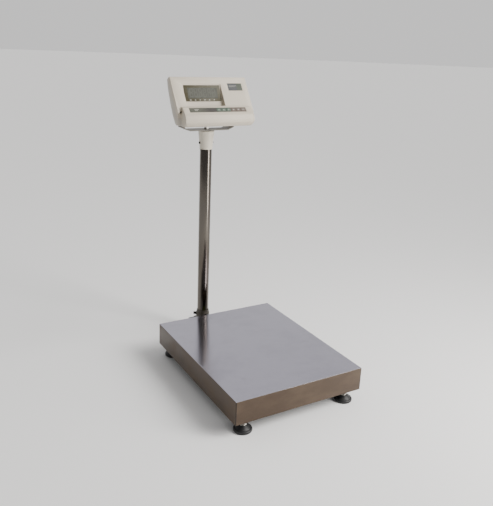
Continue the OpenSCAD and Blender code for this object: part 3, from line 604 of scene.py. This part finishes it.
# ---------------------------------------------------------------- tray
def tray():
    """The folded pan: rounded bends, a hemmed skirt and a gently dressed top."""
    low, high = [Vector(corner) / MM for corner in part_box("tray")]
    centre = (low + high) / 2
    half = (high - low) / 2
    sheet, bend, corner, hem, hem_h = 1.2, 1.6, 1.2, 2.4, 8
    gap_x, gap_top = 39, 41
    steps = 4
    bend_steps = 6

    def ring(shape, inset, height, radius):
        points = []
        for quarter, (sx, sy) in enumerate(((1, 1), (-1, 1), (-1, -1), (1, -1))):
            for step in range(steps + 1):
                angle = math.pi / 2 * (quarter + step / steps)
                x = centre.x + sx * (half.x - inset - radius) + radius * math.cos(angle)
                y = centre.y + sy * (half.y - inset - radius) + radius * math.sin(angle)
                points.append((x * MM, y * MM, height * MM))
        return [shape.verts.new(point) for point in points]

    shape = bmesh.new()
    profile = [(half.x * 0.62, high.z - sheet, 0.5), (bend, high.z - sheet, 0.5),
               (sheet, high.z - bend - 0.6, 0.5), (sheet, low.z + hem_h + 1, 0.5), (hem, low.z + hem_h, 0.5),
               (hem, low.z + 0.5, 0.5), (hem - 0.5, low.z, 0.6), (0.5, low.z, corner),
               (0, low.z + 0.5, corner)]
    for k in range(bend_steps):
        turn = math.pi / 2 * k / (bend_steps - 1)
        profile.append((bend * (1 - math.cos(turn)), high.z - bend * (1 - math.sin(turn)), corner))
    rings = [ring(shape, *row) for row in profile]
    count = len(rings[0])
    for inner, outer in zip(rings, rings[1:]):
        for k in range(count):
            shape.faces.new((inner[k], inner[(k + 1) % count], outer[(k + 1) % count], outer[k]))
    shape.faces.new(rings[0])
    shape.faces.new(list(reversed(rings[-1])))
    bmesh.ops.recalc_face_normals(shape, faces=shape.faces)
    room_for_bracket = block((-gap_x, high.y - hem - 1, low.z - 2), (gap_x, high.y + 1, gap_top))
    mesh = combined(mesh_of(shape), room_for_bracket, "DIFFERENCE")
    top = high.z * MM
    # The top faces take the brushed top; the skirt faces take the finish whose dark brown is painted reflection
    # and painted shade.
    for face in mesh.polygons:
        face.use_smooth = True
        face.material_index = 1 if face.normal.z > 0.75 and face.center.z > top - bend * MM else 0
    smoothed(mesh, 40)
    mesh.materials.append(LOOKS["stainless_brushed"])
    mesh.materials.append(TRAY_TOP)
    piece_from(mesh, "tray_pan", "tray", shown_for=["tray"])


# ---------------------------------------------------------------- feet
def tread_tree():
    """Nodes that stand small blocks in a ring, for the grip under a foot."""
    tree = bpy.data.node_groups.new("foot_tread", "GeometryNodeTree")
    face = tree.interface
    face.new_socket("Geometry", in_out="OUTPUT", socket_type="NodeSocketGeometry")
    for name, kind in (("Count", "Int"), ("Radius", "Float"), ("Block", "Vector"), ("Place", "Vector"),
                       ("Material", "Material")):
        face.new_socket(name, in_out="INPUT", socket_type="NodeSocket" + kind)
    nodes, links = tree.nodes, tree.links
    given, out = nodes.new("NodeGroupInput"), nodes.new("NodeGroupOutput")
    circle = nodes.new("GeometryNodeMeshCircle")
    cube = nodes.new("GeometryNodeMeshCube")
    here = nodes.new("GeometryNodeInputPosition")
    point_out = nodes.new("FunctionNodeAlignEulerToVector")
    stand = nodes.new("GeometryNodeInstanceOnPoints")
    move = nodes.new("GeometryNodeTransform")
    real = nodes.new("GeometryNodeRealizeInstances")
    paint = nodes.new("GeometryNodeSetMaterial")
    for source, target in ((given.outputs["Count"], circle.inputs["Vertices"]),
                           (given.outputs["Radius"], circle.inputs["Radius"]),
                           (given.outputs["Block"], cube.inputs["Size"]),
                           (here.outputs[0], point_out.inputs["Vector"]),
                           (circle.outputs["Mesh"], stand.inputs["Points"]),
                           (cube.outputs["Mesh"], stand.inputs["Instance"]),
                           (point_out.outputs[0], stand.inputs["Rotation"]),
                           (stand.outputs[0], move.inputs["Geometry"]),
                           (given.outputs["Place"], move.inputs["Translation"]),
                           (move.outputs[0], real.inputs[0]),
                           (real.outputs[0], paint.inputs["Geometry"]),
                           (given.outputs["Material"], paint.inputs["Material"]),
                           (paint.outputs[0], out.inputs[0])):
        links.new(source, target)
    return tree


def ring_of_blocks(tree, name, node, count, radius, size, place, material):
    """One ring of blocks as a plain mesh piece."""
    holder = loose(bpy.data.meshes.new(name))
    modifier = holder.modifiers.new("ring", "NODES")
    modifier.node_group = tree
    wanted = {"Count": count, "Radius": radius, "Block": size, "Place": place, "Material": material}
    for item in tree.interface.items_tree:
        if item.in_out == "INPUT":
            modifier[item.identifier] = wanted[item.name]
    mesh = applied(holder)
    mesh.materials.append(material)
    return piece_from(mesh, name, node)


def foot(side, tree):
    """A moulded rubber pad with a stepped cone, a waist groove and a ring of grip blocks under its rim."""
    node = "foot_pad_" + side
    low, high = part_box(node)
    centre = ((low[0] + high[0]) / 2, (low[1] + high[1]) / 2)
    r, top = (high[0] - low[0]) / 2 / MM, high[2] / MM
    corners = [(0, 0.8), (r - 7, 0.8), (r - 6.5, 0), (r - 2, 0), (r, 2), (r, 6.8), (r - 1.4, 8.6),
               (r - 4.6, 9.4), (r - 5.4, 10.2), (15.4, 13.4), (15, 14.2), (13.2, 15.4), (11.9, 16.6),
               (11.4, top - 0.4), (10.9, top), (0, top)]
    radii = [0, 0.3, 0.3, 1.6, 1.6, 1.4, 1.4, 0.6, 0.6, 0.8, 0.6, 0.6, 0.6, 0.3, 0.3, 0]
    profile = arc_profile(corners, radii, 3)
    piece_from(smoothed(turned(profile, centre), 50), "foot_pad_moulding_" + side, node, shown_for=[node])
    grips, grip_size, grip_height = 28, (0.0035, 0.0016, 0.0012), 0.0007
    ring_of_blocks(tree, "foot_tread_" + side, node, grips, (r - 4.4) * MM, grip_size,
                   (centre[0], centre[1], grip_height), LOOKS["foot_rubber"])
    refined("foot_stud_" + side, 0.4, material=THREAD)


# ---------------------------------------------------------------- indicator head
# The head is drawn on three planes: the case's face, the display's floor and the key panel.
# On each of them x runs across, y up the slope and z straight out, in millimetres.
FACE_TURN = math.radians(90 - 33.5)
FLOOR_TURN = math.radians(10.7)
PANEL_TURN = math.radians(-12.4)
HINGE = Vector(JOINTS["head_tilt"]["pos_m"])
FACE_TOP = HINGE + Vector((0, -2.5, 115.3)) * MM
FACE = Matrix.Translation(FACE_TOP) @ Matrix.Rotation(FACE_TURN, 4, "X")
FLOOR = FACE @ Matrix.Translation(Vector((0, -24, -1.5)) * MM) @ Matrix.Rotation(FLOOR_TURN, 4, "X")
PANEL = FACE @ Matrix.Translation(Vector((0, -107, 10.5)) * MM) @ Matrix.Rotation(PANEL_TURN, 4, "X")
HALF_CASE = (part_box("front_case")[1][0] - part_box("front_case")[0][0]) / 2 / MM
HALF_NOSE = 115.5
PARTING = -16
SEAM = 0.25
WALL = 2.5
KEYS = 6
FIRST_KEY = 0.2
KEY_PITCH = 16.7
KEY_ROW = -11
KEY_HOLE = (6.9, 4.9)
BACK = [(0, 0), (6.6, -14.2), (3, -21.4), (-22.5, -29.9), (-63.6, -36.7), (-106.2, -40.3), (-136.9, -37.2),
        (-146, -30)]
BACK_RADII = [1.6, 5, 9, 60, 90, 60, 10, 2.4]
CHEEK = BACK + [(-141.8, -27.2), (-118, -7), (-122, 0)]
NOSE = [(-92, -3), (-92, -30), (-136.9, -36.8), (-145.8, -29.6), (-160.5, -12), (-163.5, -3), (-158.5, 9),
        (-150, 15.6), (-137.5, 17.2), (-107, 10.5), (-98.4, -3)]
NOSE_RADII = [1.6, 1.6, 10, 6, 7, 8, 9, 7, 6, 4, 1.6]
BOSSES = [(-118, -14), (118, -14), (-100, -138), (100, -138)]


def front_outline(half, low, high, radius):
    """A rounded rectangle seen from the front."""
    corners = [(-half, low), (-half, high), (half, high), (half, low)]
    return arc_profile(corners, [radius] * 4, 6)


def case_solid():
    """The whole outside of the case, with the narrower bullnose under the face."""
    cheek = prism(arc_profile(CHEEK, BACK_RADII + [2, 2, 1.6]), HALF_CASE, FACE)
    far, near = -60, 40
    frontage = front_outline(HALF_CASE + 0.3, -175, 6.6, 7.3)
    cheek = combined(cheek, upright(frontage, far, near, FACE), "INTERSECT")
    for side in (-1, 1):
        corners = ((131, -122), (128, -122), (107.7, -103), (107.7, -133), (131, -133))
        notch = [(side * x, w) for x, w in corners]
        cheek = combined(cheek, upright(notch, -7.9, 3, FACE), "DIFFERENCE")
    nose = prism(arc_profile(NOSE, NOSE_RADII), HALF_NOSE, FACE)
    frontage = front_outline(HALF_NOSE + 0.3, -163.6, 60, 12.3)
    nose = combined(nose, upright(frontage, far, near, FACE), "INTERSECT")
    return combined(cheek, nose, "UNION")


def case_hollow():
    """The room inside the case."""
    cheek_side, nose_side = 4.5, 7
    cheek = prism(moved_in(CHEEK, WALL), HALF_CASE - cheek_side, FACE)
    nose = prism(moved_in(NOSE, WALL), HALF_NOSE - nose_side, FACE)
    return combined(cheek, nose, "UNION")


def recess(depth):
    """The display recess: a pocket whose floor stands more upright than the face."""
    left, right = -94 - depth, 35 + depth
    slab = block((left, -90, -depth), (right, 20, 22), FLOOR)
    limits = block((left, -98 - depth, -22), (right, -23 + depth, 0 if depth else 6), FACE)
    return combined(slab, limits, "INTERSECT")


def key_centre(number):
    """How far across the panel a key stands, in millimetres."""
    return FIRST_KEY + (number - 1) * KEY_PITCH


def case_shells():
    """Front and rear mouldings, cut from one form along the parting plane."""
    solid, hollow = case_solid(), case_hollow()
    half, bottom, top = 140, -180, 20
    half_key, half_row = KEY_HOLE
    front_post, rear_post, screw_hole, head_hole = 4.5, 5.5, 1.75, 4
    shell = combined(solid.copy(), hollow, "DIFFERENCE")
    front = combined(shell.copy(), block((-half, bottom, PARTING + SEAM), (half, top, 30), FACE), "INTERSECT")
    front = combined(front, recess(WALL), "UNION")
    front = combined(front, recess(0), "DIFFERENCE")
    front = combined(front, block((-80, -45, -6), (21, -11, 2), FLOOR), "DIFFERENCE")
    front = combined(front, block((-97, -19.4, -0.8), (94.5, -2.5, 4), PANEL), "DIFFERENCE")
    for number in range(1, KEYS + 1):
        x = key_centre(number)
        hole = block((x - half_key, KEY_ROW - half_row, -6), (x + half_key, KEY_ROW + half_row, 2), PANEL)
        front = combined(front, hole, "DIFFERENCE")
    front = combined(front, block((59, -46, -0.3), (109, -21, 1), FACE), "DIFFERENCE")
    posts = []
    for x, w in BOSSES:
        place = FACE @ Matrix.Translation(Vector((x, w, 0)) * MM)
        posts.append(rod(front_post, PARTING + SEAM, 14 if w < -100 else -1.2, place, 24))
    piece_from(softened(joined(front), 0.9 * MM, 3, 36), "front_shell", "front_case",
               shown_for=["front_case"])
    piece_from(smoothed(joined(*posts)), "front_shell_posts", "front_case")

    rear = combined(shell, block((-half, bottom, -60), (half, top, PARTING), FACE), "INTERSECT")
    pad = combined(block((-72, -139, -45), (72, -103, -33), FACE), solid.copy(), "INTERSECT")
    rear = combined(rear, pad, "UNION")
    for x, w in BOSSES:
        place = FACE @ Matrix.Translation(Vector((x, w, 0)) * MM)
        post = combined(rod(rear_post, -45, PARTING, place, 24), solid.copy(), "INTERSECT")
        rear = combined(rear, post, "UNION")
        rear = combined(rear, rod(head_hole, -46, -20, place, 24), "DIFFERENCE")
        rear = combined(rear, rod(screw_hole, -21, PARTING + 1, place, 16), "DIFFERENCE")
    rear = combined(rear, block((-66, -134, -60), (66, -108, -35.5), FACE), "DIFFERENCE")
    rear = combined(rear, block((-62, -131, -40), (62, -111, -30), FACE), "DIFFERENCE")
    rear = combined(rear, lugs(), "UNION")
    piece_from(softened(rear, 0.9 * MM, 2, 36), "rear_shell", "rear_case", shown_for=["rear_case"])
    bpy.data.meshes.remove(solid)


def lugs():
    """Two ears on the case's back that hang on the tilt bolts."""
    pivot = (-94.8, -65.7)
    inner, outer, half_ear = 76, 83.7, 3.85
    hub_radius, hole_radius = 12, 3.05
    outline = [Vector(p) for p in ((-112.8, -37.5), (-74.8, -35), (-82.9, -64.1), (-106.4, -68.7))]
    sideways = Matrix.Rotation(math.radians(90), 4, "Y")
    sides = []
    for side in (-1, 1):
        low, high = sorted((side * inner, side * outer))
        wing = prism(outline, half_ear, FACE @ Matrix.Translation(((low + high) / 2 * MM, 0, 0)))
        hub_place = FACE @ Matrix.Translation(Vector((low, *pivot)) * MM) @ sideways
        hub = combined(wing, rod(hub_radius, 0, high - low, hub_place, 40), "UNION")
        sides.append(combined(hub, rod(hole_radius, -2, high - low + 2, hub_place, 32), "DIFFERENCE"))
    return joined(*sides)


def display():
    """The tinted window, the panel behind it, its resting segments and a row of small status marks."""
    window = softened(block((-90, -53, 0.02), (31, -3, 1.8), FLOOR), 0.5 * MM, 2)
    piece_from(window, "display_window_pane", "display_window", shown_for=["display_window"])
    view = block((-79.5, -44.5, 1.6), (20.5, -11.5, 1.95), FLOOR)
    piece_from(softened(view, 0.1 * MM, 1), "display_view_area", "display_window", LOOKS["lcd_glass"])
    bars = []
    digits, first_digit, digit_pitch = 6, -73, 15
    for digit in range(digits):
        left = first_digit + digit * digit_pitch
        for x0, w0, x1, w1 in ((1.8, -15.4, 8.6, -13.9), (1.8, -27.4, 8.6, -25.9), (1.8, -39.4, 8.6, -37.9),
                               (0, -25.8, 1.6, -15), (8.8, -25.8, 10.4, -15), (0, -38.3, 1.6, -27.5),
                               (8.8, -38.3, 10.4, -27.5), (11.4, -39.4, 12.8, -38)):
            bars.append(block((left + x0, w0, 1.9), (left + x1, w1, 2.0), FLOOR))
    piece_from(joined(*bars), "display_segments", "display_window", SEGMENT)
    marks = []
    mark_count, first_mark, mark_pitch = 6, -76, 15.8
    low, high = 1.7, 1.9
    for number in range(mark_count):
        x = first_mark + number * mark_pitch
        if number % 3 == 0:
            marks.append(block((x, -50.2, low), (x + 6, -48.2, high), FLOOR))
        elif number % 3 == 1:
            marks.append(upright([(x, -50.6), (x + 3, -47.6), (x + 6, -50.6)], low, high, FLOOR))
        else:
            marks.append(rod(1.6, low, high, FLOOR @ Matrix.Translation(Vector((x + 3, -49.2, 0)) * MM), 20))
    piece_from(joined(*marks), "status_marks", "display_window", MARK)


def keypad():
    """The printed strip, six domed keys, and one plain mark on each key."""
    refined("key_overlay", 0.15, 1)
    low, high = 0.6, 0.76
    strip_mark = [block((-80, -9.4, 0.15), (-66, -8, 0.26), PANEL),
                  block((-80, -13.6, 0.15), (-70, -12.2, 0.26), PANEL)]
    piece_from(joined(*strip_mark), "strip_lines", "key_overlay", MARK)
    for number in range(1, KEYS + 1):
        node = "key_%d" % number
        refined(node, 0.55, 3)
        spot = PANEL @ Matrix.Translation(Vector((key_centre(number), KEY_ROW, 0)) * MM)
        shapes = {1: [block((-2.6, -0.5, low), (2.6, 0.5, high), spot)],
                  2: [upright([(-2.2, -1.6), (0, 1.8), (2.2, -1.6)], low, high, spot)],
                  3: [block((-2.4, -0.4, low), (2.4, 0.4, high), spot),
                      block((-0.4, -2.2, low), (0.4, 2.2, high), spot)],
                  4: [rod(1.7, low, high, spot, 20)],
                  5: [block((-1.7, -1.7, low), (1.7, 1.7, high), spot)],
                  6: [block((-2.6, 0.6, low), (2.6, 1.4, high), spot),
                      block((-2.6, -1.4, low), (2.6, -0.6, high), spot)]}
        piece_from(joined(*shapes[number]), "key_mark_%d" % number, node, MARK)


def label():
    """A blank label with two plain rules."""
    refined("label_plate", 0.15, 1)
    left, low, high = 63, 0.38, 0.46
    rules = [block((left, -30.2, low), (90, -29.4, high), FACE),
             block((left, -33, low), (84, -32.5, high), FACE)]
    piece_from(joined(*rules), "label_rules", "label_plate", MARK)


# ---------------------------------------------------------------- everything else
ROUNDED = {"column_flange": 0.7, "flange_bolts": 0.5, "socket_screws": 0.5, "neck_screws": 0.5,
           "neck": 0.6, "head_bracket": 0.6, "foot_jam_nuts": 0.6, "column_bracket": 0.8,
           "bracket_bolts": 0.5, "bubble_level": 0.5, "swivel_bolt": 0.5, "swivel_washer": 0.3,
           "tilt_bolts": 0.5, "tilt_nuts": 0.4, "rail_end_caps": 0.8, "base_side_rails": 1.2,
           "base_cross_rails": 1.2, "upper_side_rails": 1.2, "upper_end_rails": 1.2,
           "connector_panel": 0.25, "mains_inlet": 0.5, "fuse_holder": 0.4, "cell_connector": 0.3,
           "power_switch": 0.5, "power_rocker": 0.8, "case_screws": 0.3, "column_tube": 0.3,
           "tray_buffers": 0.6, "battery": 1.5, "transformer": 0.8, "load_cell": 0.6}


def remaining():
    """Round the edges of the other pieces, and finish every CAD node that still shows."""
    for node, width in ROUNDED.items():
        refined(node, width)
    for name, thing in frame["nodes"].items():
        thing.data.materials.clear()
        thing.data.materials.append(LOOKS[SLOTS[name]])


# ---------------------------------------------------------------- room
def area_light(name, place, aim, size, power, colour):
    """A soft rectangular light that faces a point and does not show in the picture."""
    lamp = bpy.data.lights.new(name, "AREA")
    lamp.shape, lamp.size, lamp.size_y = "RECTANGLE", size[0], size[1]
    lamp.energy, lamp.color = power, colour
    made = bpy.data.objects.new(name, lamp)
    made.location = place
    made.visible_camera = False
    made.rotation_euler = (Vector(aim) - Vector(place)).to_track_quat("-Z", "Y").to_euler()
    bpy.context.scene.collection.objects.link(made)


def studio_air():
    """Soft light from all round, pale behind the object and dim in front of it on the left."""
    world = bpy.data.worlds.new("room")
    world.use_nodes = True
    tree = world.node_tree
    look = tree.nodes.new("ShaderNodeTexCoord")
    along = tree.nodes.new("ShaderNodeVectorMath")
    along.operation = "DOT_PRODUCT"
    along.inputs[1].default_value = (0.68, 0.62, 0.39)
    fade = tree.nodes.new("ShaderNodeMapRange")
    fade.interpolation_type = "SMOOTHSTEP"
    for socket, value in zip(("From Min", "From Max", "To Min", "To Max"), (-0.5, 0.9, 0.28, 0.82)):
        fade.inputs[socket].default_value = value
    shine = tree.nodes["Background"]
    shine.inputs["Color"].default_value = (1, 0.99, 0.985, 1)
    for source, target in ((look.outputs["Generated"], along.inputs[0]),
                           (along.outputs["Value"], fade.inputs["Value"]),
                           (fade.outputs["Result"], shine.inputs["Strength"])):
        tree.links.new(source, target)
    return world


def room():
    """A wide pale floor, a tall soft light at the front right and a broad soft light from above."""
    shape = bmesh.new()
    bmesh.ops.create_circle(shape, cap_ends=True, segments=96, radius=60)
    floor = loose(mesh_of(shape, "floor"))
    floor.name = "floor"
    paper = Finish("pale_floor", (0.84, 0.84, 0.84), roughness=0.9, Specular_IOR_Level=0.1)
    paper.set(Base_Color=paper.mix(paper.noise(3, detail=2) * 0.06, (0.92, 0.92, 0.92), (0.87, 0.87, 0.87)))
    floor.data.materials.append(paper.material)
    bpy.context.scene.world = studio_air()
    area_light("tall_softbox", (1.0, -1.25, 0.98), (0, 0.1, 0.5), (0.55, 1.9), 40, (1, 0.97, 0.93))
    sun = bpy.data.lights.new("high_soft_light", "SUN")
    sun.energy, sun.angle, sun.color = 2.3, math.radians(38), (1, 0.985, 0.96)
    high = bpy.data.objects.new("high_soft_light", sun)
    high.rotation_euler = Vector((-0.80, 0.62, -0.92)).to_track_quat("-Z", "Y").to_euler()
    bpy.context.scene.collection.objects.link(high)


# ---------------------------------------------------------------- build
tray()
tread = tread_tree()
for corner in ("front_left", "front_right", "rear_left", "rear_right"):
    foot(corner, tread)
case_shells()
display()
keypad()
label()
remaining()
room()
